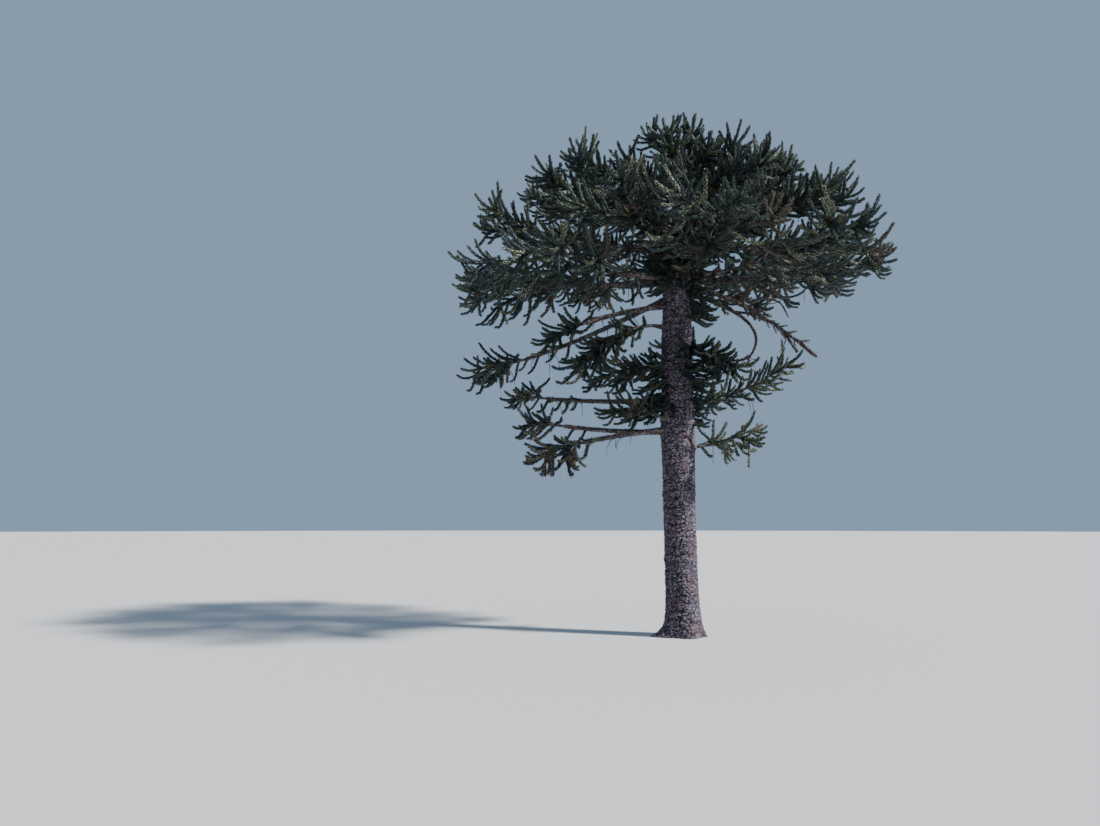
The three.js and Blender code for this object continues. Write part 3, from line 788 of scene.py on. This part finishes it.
def barkMaterial(name):
    look = barkLooks[name]
    material, tree, shader, place = newMaterial(name, .93, .2)
    tone, plate = [addNode(tree, "ShaderNodeAttribute", attribute_name=label).outputs["Fac"]
                   for label in ("plateTone", "plateHeight")]
    patches = noise(tree, place, 2.3, 4.0)
    fine = noise(tree, place, look["grain"], 6.0, Roughness=.65)
    colour = mixed(tree, ramp(tree, tone, .25, .8), look["grey"], look["pale"])
    colour = mixed(tree, ramp(tree, patches, .47, .66), colour, look["red"])
    colour = mixed(tree, times(tree, ramp(tree, fine, .52, .72), .45), colour, look["lichen"])
    dark = times(tree, ramp(tree, fine, .3, .5), ramp(tree, plate, .1, .75))
    tree.links.new(mixed(tree, dark, look["crack"], colour), shader["Base Color"])
    addBump(tree, shader, fine, .55, .012)
    return material


# Bark relief: plates parted by cracks, with bands round the trunk
barkRelief = {"Plate size": .112, "Plate stretch": 1.9, "Plate depth": .026, "Crack width": .2,
              "Band spacing": .22, "Band depth": .018, "Lump size": .24, "Lump depth": .035}


def addRelief(tree, geometry, given):
    place = add(tree, "GeometryNodeInputPosition")
    size = given["Plate size"]
    perMetre = reckon(tree, "DIVIDE", 1.0, size)
    wander = noise(tree, place, times(tree, perMetre, .7), 2.0, "Color")
    shift = vectorMath(tree, "SCALE", vectorMath(tree, "SUBTRACT", wander, (.5, .5, .5)), size)
    stretch = combined(tree, X=1.0, Y=1.0, Z=given["Plate stretch"])
    spot = vectorMath(tree, "MULTIPLY", vectorMath(tree, "ADD", place, shift), stretch)
    inputs = {"Vector": spot, "Scale": perMetre}
    edge = addNode(tree, "ShaderNodeTexVoronoi", inputs, feature="DISTANCE_TO_EDGE").outputs["Distance"]
    cell = addNode(tree, "ShaderNodeTexVoronoi", inputs, feature="F1").outputs["Color"]
    tone = add(tree, "ShaderNodeSeparateXYZ", {0: cell})
    plate = ramp(tree, edge, 0.0, given["Crack width"])
    height = addNode(tree, "ShaderNodeSeparateXYZ", {0: place}).outputs[2]
    turns = reckon(tree, "ADD", reckon(tree, "DIVIDE", height, given["Band spacing"]),
                   times(tree, noise(tree, place, 1.6, 3.0), 2.2))
    band = ramp(tree, reckon(tree, "PINGPONG", turns, .5), .0, .13)
    lumps = noise(tree, place, reckon(tree, "DIVIDE", 1.0, given["Lump size"]), 4.0)
    raised = times(tree, plate, reckon(tree, "MULTIPLY_ADD", tone, .5, .5))
    depth = 0.0
    for layer, level, label in ((raised, .6, "Plate"), (band, .8, "Band"), (lumps, .5, "Lump")):
        above = reckon(tree, "SUBTRACT", layer, level)
        depth = reckon(tree, "MULTIPLY_ADD", above, given[label + " depth"], depth)
    offset = vectorMath(tree, "SCALE", add(tree, "GeometryNodeInputNormal"), depth)
    plateHeight = times(tree, plate, reckon(tree, "MULTIPLY_ADD", band, .6, .4))
    for label, value in (("plateHeight", plateHeight), ("plateTone", tone)):
        inputs = {"Geometry": geometry, "Name": label, "Value": value}
        geometry = add(tree, "GeometryNodeStoreNamedAttribute", inputs)
    lifted = add(tree, "GeometryNodeSetPosition", {"Geometry": geometry, "Offset": offset})
    return add(tree, "GeometryNodeSetShadeSmooth", {"Geometry": lifted})


reliefTree, given = startTree("barkRelief", barkRelief)
endTree(reliefTree, addRelief(reliefTree, given["Geometry"], given), given)

# The trunk: rings round its centre line, with ribs and a long root at the foot, collars where
# boughs leave it and scars of lost ones


def trunkBumps():
    shape, random = trunkShape, seededRandom("scar")
    bumps = [(math.radians(bough["heading"]), bough["base"], shape["collarWidth"], shape["collarDepth"])
             for bough in masses + deadLimbs]
    for k in range(shape["scars"]):
        bumps.append((2 * math.pi * random(), *[lerp(*shape[key], random()) for key in (
            "scarLevels", "scarWidths", "scarDepths")]))
    return bumps


def trunkMesh():
    shape = trunkShape
    heights = np.concatenate([np.arange(0, shape["crownFrom"], shape["ring"]),
                              np.arange(shape["crownFrom"], treeTop, shape["ringInCrown"]),
                              [treeTop, treeTop + .03]])
    angles = np.arange(shape["sides"]) * 2 * np.pi / shape["sides"]
    height, angle = np.meshgrid(heights, angles, indexing="ij")
    # the girth is evened out over a short stretch of the trunk
    radius = np.mean([trunkRadius(np.clip(height + d * np.clip(height / .5, 0, 1), 0, treeTop))
                      for d in np.linspace(-.12, .12, 7)], axis=0)
    ribs = .5 + .5 * np.cos(shape["ribCount"] * angle + shape["ribTurn"])
    turned = (np.degrees(angle) - shape["rootHeading"] + 180) % 360 - 180
    radius += shape["ribDepth"] * ribs * np.exp(-height / shape["ribHeight"])
    radius += (shape["rootDepth"] * np.exp(-(turned / shape["rootWidth"]) ** 2)
               * np.exp(-height / shape["rootHeight"]))
    for turn, level, width, depth in trunkBumps():
        across = ((angle - turn + np.pi) % (2 * np.pi) - np.pi) * trunkRadius(level)
        radius += depth * np.exp(-(across ** 2 + (height - level) ** 2) / width ** 2)
    radius *= np.where(height > treeTop, .4, 1)
    x, y = trunkCentre(height) + radius * np.cos(angle), radius * np.sin(angle)
    vertices = np.column_stack([x.ravel(), y.ravel(), height.ravel()])
    rings, sides = height.shape
    ring, side = np.meshgrid(np.arange(rings - 1), np.arange(sides), indexing="ij")
    here, beside = (ring * sides + side).ravel(), (ring * sides + (side + 1) % sides).ravel()
    faces = np.column_stack([here, beside, beside + sides, here + sides]).tolist()
    foot, tip, last = len(vertices), len(vertices) + 1, (rings - 1) * sides
    vertices = np.vstack([vertices, [0, 0, 0], inTrunk(treeTop) + [0, 0, .035]])
    faces += [[foot, (k + 1) % sides, k] for k in range(sides)]
    faces += [[tip, last + k, last + (k + 1) % sides] for k in range(sides)]
    mesh = bpy.data.meshes.new("trunk")
    mesh.from_pydata(vertices.tolist(), [], faces)
    return mesh


trunk = growPiece("trunk_bark", trunkMesh(), reliefTree, barkMaterial("trunkBark"))
points = np.zeros(len(trunk.data.vertices) * 3)
trunk.data.vertices.foreach_get("co", points)
points[2::3] = np.maximum(points[2::3], 0)  # the foot stays flat on the ground
trunk.data.vertices.foreach_set("co", points)
print("trunk made")

# Limbs: bare boughs, the stub and the dead limbs, as tubes with a finer relief
limbRelief = {"Plate size": .04, "Plate stretch": 1.0, "Plate depth": .010, "Crack width": .2,
              "Band spacing": .11, "Band depth": .004, "Lump size": .12, "Lump depth": .03, "Sides": 14}
limbTree, given = startTree("limbBark", limbRelief)
endTree(limbTree, addRelief(limbTree, tubeAlong(limbTree, given, girthAlong(limbTree)), given), given)
limbBark, deadWood = barkMaterial("boughBark"), barkMaterial("deadWood")

boughGirth = (.084, .048)  # radius at the trunk and where the leafy part begins
insideTrunk = .3  # how far from the trunk's middle a limb starts
stub = {"height": 8.48, "reach": .61, "radius": .06}
strands = [strand(mass["whole"], insideTrunk / mass["whole"].length, mass["share"], *boughGirth)
           for mass in bareBoughs]
stubPath = SmoothPath([inTrunk(stub["height"]) + [-stub["reach"] * part, 0, rise]
                       for part, rise in ((0, 0), (.6, .02), (1, .07))])
strands.append(strand(stubPath, 0, 1, stub["radius"], stub["radius"] * .6))
boughs = growStrands("bough_bark", strands, limbTree, limbBark)

# Dead wood: the two limbs, the twigs on them, and dry twigs that hang in the crown. Each twig leaves
# its limb at one slope and ends at another.
twigColumns = ("name", "on", "along", "heading", "slopes", "length", "girth")
deadTwigs = [dict(zip(twigColumns, row)) for row in (
    ("riser", "hooked", .5, 8, (0, 68), 1.8, (.042, .014)),
    ("side", "riser", .62, 352, (5, 30), .48, (.016, .010)),
    ("left", "hooked", .98, 190, (-25, -75), .42, (.022, .010)),
    ("down", "hooked", .98, 240, (-80, -70), .30, (.020, .010)),
    ("back", "hooked", .95, 120, (-20, 15), .28, (.015, .008)),
    ("right", "hooked", .97, 350, (-40, 10), .26, (.014, .008)),
    ("prong", "long", .72, 338, (-58, -60), .80, (.034, .044)),
    ("bow", "long", .47, 350, (30, -62), 1.45, (.034, .020)),
    ("drop", "prong", .25, 185, (-88, -50), .55, (.016, .010)),
    ("spur", "long", .86, 20, (10, -5), .36, (.016, .009)),
)]
deadShoots = {"count": 30, "from": .44, "to": .86, "length": (.14, .36), "girth": (.024, .012)}
dryTwigs = {"spacing": .62, "length": (.35, .8), "slopes": (-35, -80), "girth": (.013, .007)}


def twigPath(root, heading, slopes, length):
    turned, points = math.radians(heading), [root]
    for share in (0, .5, 1):
        slope = math.radians(lerp(*slopes, share))
        step = [math.cos(turned) * math.cos(slope), math.sin(turned) * math.cos(slope), math.sin(slope)]
        points.append(points[-1] + length / 3 * np.array(step))
    return SmoothPath(points)


deadPaths = {dead["name"]: dead["whole"] for dead in deadLimbs}
strands = []
for dead in deadLimbs:
    line, _ = strand(dead["whole"], insideTrunk / dead["whole"].length, 1, 1, 1)
    strands.append((line, np.interp(np.linspace(0, 1, len(line)), *zip(*dead["girth"]))))
for twig in deadTwigs:
    path = twigPath(deadPaths[twig["on"]].at(twig["along"]), twig["heading"], twig["slopes"], twig["length"])
    deadPaths[twig["name"]] = path
    strands.append(strand(path, 0, 1, *twig["girth"]))
random = seededRandom("deadShoot")
deadShootLines = []
for k in range(deadShoots["count"]):
    along = lerp(deadShoots["from"], deadShoots["to"], (k + random()) / deadShoots["count"])
    root, forward, across, above = deadPaths["long"].stand(along)
    turn = 2 * math.pi * random()
    aim = unit(forward * 1.1 + across * math.cos(turn) + above * math.sin(turn))
    line = shootLine(root, aim, root + aim * lerp(*deadShoots["length"], random()), .2)
    deadShootLines.append(line)
    strands.append((line, np.linspace(*deadShoots["girth"], len(line))))
deadBoughs = growStrands("dead_limbs", strands, limbTree, deadWood, {"Lump depth": .02})

random = seededRandom("dryTwig")
strands = []
for mass in masses:
    paths = [(mass["whole"], .25, mass["share"])] if mass["share"] > 0 else []
    for path, first, last in paths + [(axis["path"], .1, .8) for axis in mass["axes"]]:
        for k in range(int(path.length * (last - first) / dryTwigs["spacing"])):
            root = path.at(lerp(first, last, random()))
            heading, length = 360 * random(), lerp(*dryTwigs["length"], random())
            made = strand(twigPath(root, heading, dryTwigs["slopes"], length), 0, 1, *dryTwigs["girth"], .1)
            if clearOfLimbs(made[0][2:], -.02).all():
                strands.append(made)
dryWood = growStrands("dry_twigs", strands, limbTree, deadWood,
                      {"Sides": 5, "Plate depth": .002, "Band depth": .0, "Lump depth": .012})
print("limbs made")

# Leaves: stiff keeled triangles in a spiral round each shoot
goldenTurn = 2.39996
sideOverRadius = 1.732  # of a triangle
leafShape = {"Leaf length": .066, "Leaf width": .054, "Leaf keel": .34, "Leaf tilt": .31,
             "Leaf spacing": .0168, "Stem radius": .040, "Kept": 1.0, "Seed": 3}


def leafTree():
    tree, given = startTree("leafSpiral", leafShape)
    curves = add(tree, "GeometryNodeMeshToCurve", {"Mesh": given["Geometry"]})
    spots = addNode(tree, "GeometryNodeCurveToPoints", {"Curve": curves, "Length": given["Leaf spacing"]},
                    mode="LENGTH").outputs
    radius = reckon(tree, "DIVIDE", given["Leaf width"], sideOverRadius)
    blade = cone(tree, 3, radius, given["Leaf length"])
    tilt = add(tree, "FunctionNodeEulerToRotation", {"Euler": combined(tree, Y=given["Leaf tilt"])})
    leaf = add(tree, "GeometryNodeTransform", {
        "Geometry": blade, "Translation": combined(tree, X=times(tree, given["Stem radius"], .8)),
        "Rotation": tilt, "Scale": combined(tree, X=given["Leaf keel"], Y=1.0, Z=1.0)})

    def anyBetween(low, high, shift):
        seed = reckon(tree, "ADD", given["Seed"], float(shift))
        return addNode(tree, "FunctionNodeRandomValue", {2: low, 3: high, "Seed": seed},
                       data_type="FLOAT").outputs[1]

    index = add(tree, "GeometryNodeInputIndex")
    around = reckon(tree, "MULTIPLY_ADD", index, goldenTurn, anyBetween(-.25, .25, 1))
    turned = spots["Rotation"]
    for axis, angle in (((0, 0, 1), around), ((0, 1, 0), anyBetween(-.16, .2, 2))):
        turn = add(tree, "FunctionNodeAxisAngleToRotation", {"Axis": axis, "Angle": angle})
        turned = add(tree, "FunctionNodeRotateRotation", {"Rotation": turned, "Rotate By": turn},
                     rotation_space="LOCAL")
    kept = reckon(tree, "LESS_THAN", anyBetween(0.0, 1.0, 3), given["Kept"])
    size = times(tree, girthAlong(tree), anyBetween(.85, 1.15, 4))
    leaves = scatter(tree, spots["Points"], leaf, Selection=kept, Rotation=turned, Scale=size)
    return endTree(tree, leaves, given)


spiralTree = leafTree()
taper = np.array([.9, 1, 1.03, 1.02, .98, .86, .45])
trianglesPerLeaf, trianglesPerStem = 4, 38
budLength = .025  # a short end beyond the tip, so that the shoot closes in a point


def withBud(line):
    return np.vstack([line, line[-1] + unit(line[-1] - line[-2]) * budLength])


random = seededRandom("size")
allMasses = ["foliage_" + mass["name"] for mass in masses]
stems, leafPieces = [], []
for tint, made in dict(leafTints, pale=paleLitShoots).items():
    strands = [(withBud(line), taper * lerp(.88, 1.14, random())) for line in shoots[tint]]
    stems += strands
    length = sum(np.linalg.norm(np.diff(line, axis=0), axis=1).sum() for line, _ in strands)
    leafPieces += growParts("leaves_" + tint, strands, length / leafShape["Leaf spacing"] * trianglesPerLeaf,
                            spiralTree, leafMaterial(tint + "Leaf", made["colour"]))
print("leaves made:", len(leafPieces), "pieces")

# Twigs: the stems of the shoots and the axes inside the masses
stemTree, given = startTree("stemTube", {"Stem radius": .036, "Sides": 3})
tube = tubeAlong(stemTree, given, times(stemTree, girthAlong(stemTree), given["Stem radius"]))
endTree(stemTree, add(stemTree, "GeometryNodeSetShadeSmooth", {"Geometry": tube}), given)
stemPieces = growParts("shoot_stems", stems, len(stems) * trianglesPerStem, stemTree,
                       plainWood("shootStem", (.060, .062, .036), (.030, .034, .022), 20.0))
strands = []
for mass in masses:
    for i, axis in enumerate(mass["axes"]):
        first = .04 if i == 0 and mass["share"] == 0 else 0
        strands.append(strand(axis["path"], first, 1, axis["rootRadius"], limbShape["axisEndRadius"], .05))
twigs = growStrands("twigs", strands, limbTree, limbBark, {"Sides": 9, "Lump depth": .02})
print("twigs made")

# Old dead leaves still stand on the bare boughs and the dead shoots
deadLeaf = plainWood("deadLeaf", (.150, .110, .080), (.060, .045, .036), 14.0)
deadLeafSpan = {"from": .5, "step": .1}
strands = [strand(mass["whole"], deadLeafSpan["from"] / mass["whole"].length, mass["share"], 1, 1,
                  deadLeafSpan["step"]) for mass in bareBoughs]
deadLeaves = growStrands("dead_leaves", strands, spiralTree, deadLeaf,
                         {"Leaf length": .06, "Leaf width": .034, "Leaf spacing": .0045, "Stem radius": .062,
                          "Leaf tilt": .75, "Kept": .6, "Seed": 8})
strands = [(line, np.full(len(line), .62)) for line in deadShootLines]
deadSprays = growStrands("dead_sprays", strands, spiralTree, deadLeaf,
                         {"Kept": .8, "Leaf spacing": .012, "Leaf tilt": .6, "Seed": 9})
print("dead leaves made")

# Round seed cones, near the tips of some shoots, covered in a spiral of pointed scales
coneBearers = {"rim_1": 1, "rim_8": 1, "left_lowest": 2}
coneShape = {"Cone radius": .078, "Scales": 130, "Scale length": .030, "Scale width": .017}


def coneTree():
    tree, given = startTree("coneScales", coneShape)
    index = add(tree, "GeometryNodeInputIndex")
    # points spread evenly over a ball: equal steps of height and a golden turn each
    share = reckon(tree, "DIVIDE", reckon(tree, "ADD", index, .5), given["Scales"])
    height = reckon(tree, "MULTIPLY_ADD", share, -2.0, 1.0)
    flat = reckon(tree, "SQRT", reckon(tree, "SUBTRACT", 1.0, times(tree, height, height)))
    turn = times(tree, index, goldenTurn)
    spot = combined(tree, X=times(tree, flat, reckon(tree, "COSINE", turn)),
                    Y=times(tree, flat, reckon(tree, "SINE", turn)), Z=height)
    place = vectorMath(tree, "SCALE", spot, times(tree, given["Cone radius"], .93))
    points = add(tree, "GeometryNodePoints", {"Count": given["Scales"], "Position": place})
    scale = cone(tree, 4, times(tree, given["Scale width"], .7), given["Scale length"])
    facing = add(tree, "FunctionNodeAlignRotationToVector", {"Vector": spot}, axis="Z")
    scales = scatter(tree, points, scale, Rotation=facing)
    ball = add(tree, "GeometryNodeMeshIcoSphere", {"Radius": given["Cone radius"], "Subdivisions": 3})
    whole = addNode(tree, "GeometryNodeJoinGeometry")
    for part in (ball, scales):
        tree.links.new(part, whole.inputs[0])
    return endTree(tree, scatter(tree, given["Geometry"], whole.outputs[0]), given)


conePlaces = []
for name, count in coneBearers.items():
    for fan in fansOf[name][-count:]:
        conePlaces.append(lerp(*fan["fingers"][len(fan["fingers"]) // 2], .8).tolist())
coneSpots = bpy.data.meshes.new("cones")
coneSpots.from_pydata(conePlaces, [], [])
cones = growPiece("seed_cones", coneSpots, coneTree(),
                  plainWood("coneScale", (.120, .105, .060), (.050, .050, .030), 40.0))
print("cones made:", len(conePlaces))

finishPiece(trunk, "bark", "trunk")
finishPiece(boughs, "limb_bark", "trunk", *["bough_" + mass["name"] for mass in bareBoughs])
finishPiece(deadBoughs, "dead_wood", *["dead_limb_" + dead["name"] for dead in deadLimbs])
for piece in [twigs, *stemPieces]:
    finishPiece(piece, "limb_bark", *allMasses)
for piece in leafPieces:
    finishPiece(piece, "leaf", *allMasses)
for piece in (dryWood, deadSprays, deadLeaves):
    finishPiece(piece, "dead_wood")
finishPiece(cones, "leaf")

# Floor, light and camera
studio = {
    "floor": (.57, .56, .55), "floorRadius": 400, "floorSides": 96,
    "sky": (.50, .71, 1.0), "skyStrength": .50, "sun": 8.0, "sunSoftness": 5, "sunFrom": (.73, -.27, .62),
    "camera": (-3.6, -22.9, 2.98), "pitch": 97.7, "lens": 27.03, "sensor": 36,
}
material, tree, shader, place = newMaterial("studioFloor", .95, .5)
shader["Base Color"].default_value = (*studio["floor"], 1)
floorMesh = bpy.data.meshes.new("floor")
turns = np.arange(studio["floorSides"]) * 2 * np.pi / studio["floorSides"]
floorMesh.from_pydata([(studio["floorRadius"] * math.cos(a), studio["floorRadius"] * math.sin(a), -.002)
                       for a in turns], [], [list(range(len(turns)))])
floorMesh.materials.append(material)
addPiece("floor", floorMesh)

world = bpy.data.worlds.new("studio")
world.use_nodes = True
sky = world.node_tree.nodes["Background"].inputs
sky["Color"].default_value = (*studio["sky"], 1)
sky["Strength"].default_value = studio["skyStrength"]
bpy.context.scene.world = world
sun = addPiece("sun", bpy.data.lights.new("sun", "SUN"))
sun.data.energy = studio["sun"]
sun.data.angle = math.radians(studio["sunSoftness"])
sun.rotation_euler = Vector(studio["sunFrom"]).to_track_quat("Z", "Y").to_euler()
camera = addPiece("camera", bpy.data.cameras.new("camera"))
camera.data.sensor_width = studio["sensor"]
camera.data.lens = studio["lens"]
camera.data.clip_end = 2000
camera.location = studio["camera"]
camera.rotation_euler = (math.radians(studio["pitch"]), 0, 0)
bpy.context.scene.camera = camera
print("floor, light and camera set")
